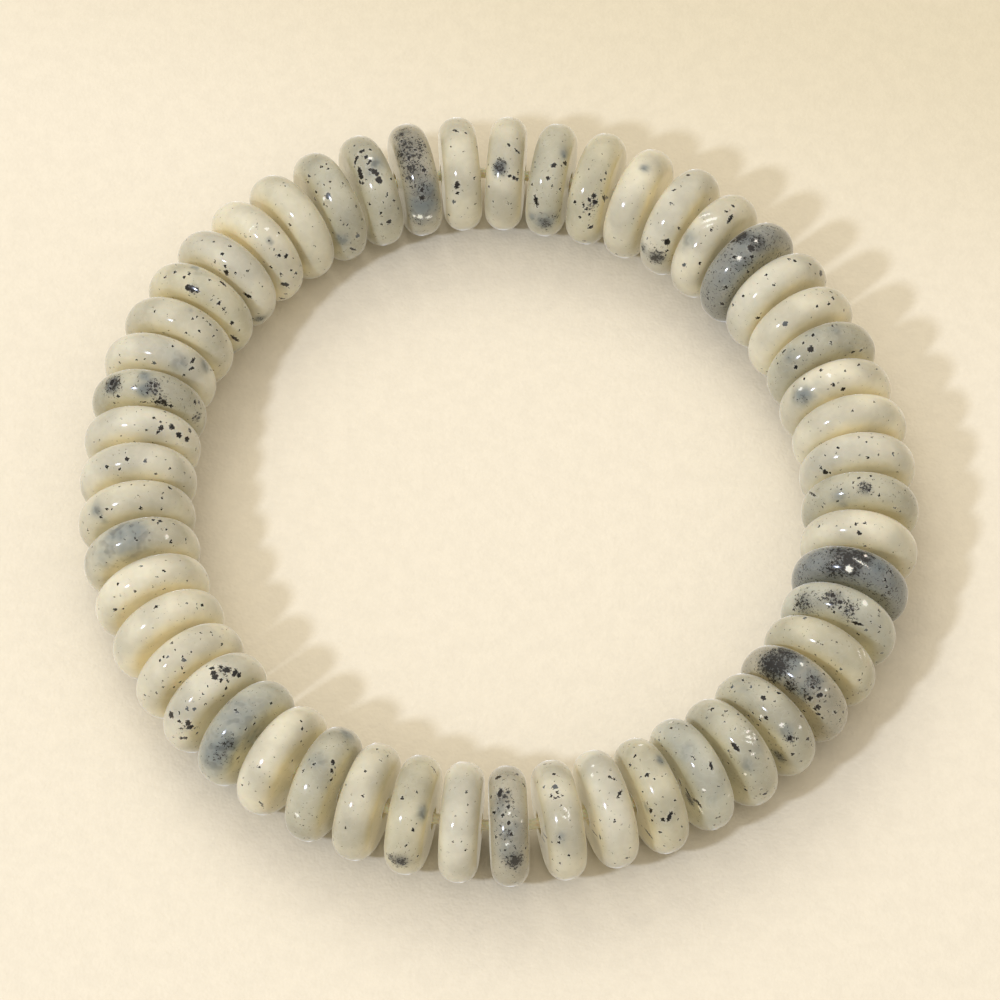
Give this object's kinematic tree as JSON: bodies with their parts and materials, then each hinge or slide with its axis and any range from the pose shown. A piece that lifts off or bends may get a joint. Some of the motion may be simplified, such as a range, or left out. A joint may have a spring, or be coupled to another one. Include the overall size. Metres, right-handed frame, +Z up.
{
  "type": "beaded stretch bracelet",
  "caption": "Closed ring of drilled stone rondelle beads strung on elastic thread, lying flat with every bead standing on its rim.",
  "frame": {"origin": "middle of the ring's box, on the surface that the bracelet lies on", "axes": "+Z up from the surface, through the wrist opening; -Y towards the picture's viewer; +X to the picture's right"},
  "size_m": [0.0714, 0.0754, 0.01],
  "materials": {
    "stone": "gloss",
    "thread": "satin"
  },
  "bodies": {
    "root": {"stone_beads": "stone", "elastic_thread": "thread"}
  },
  "joints": []
}
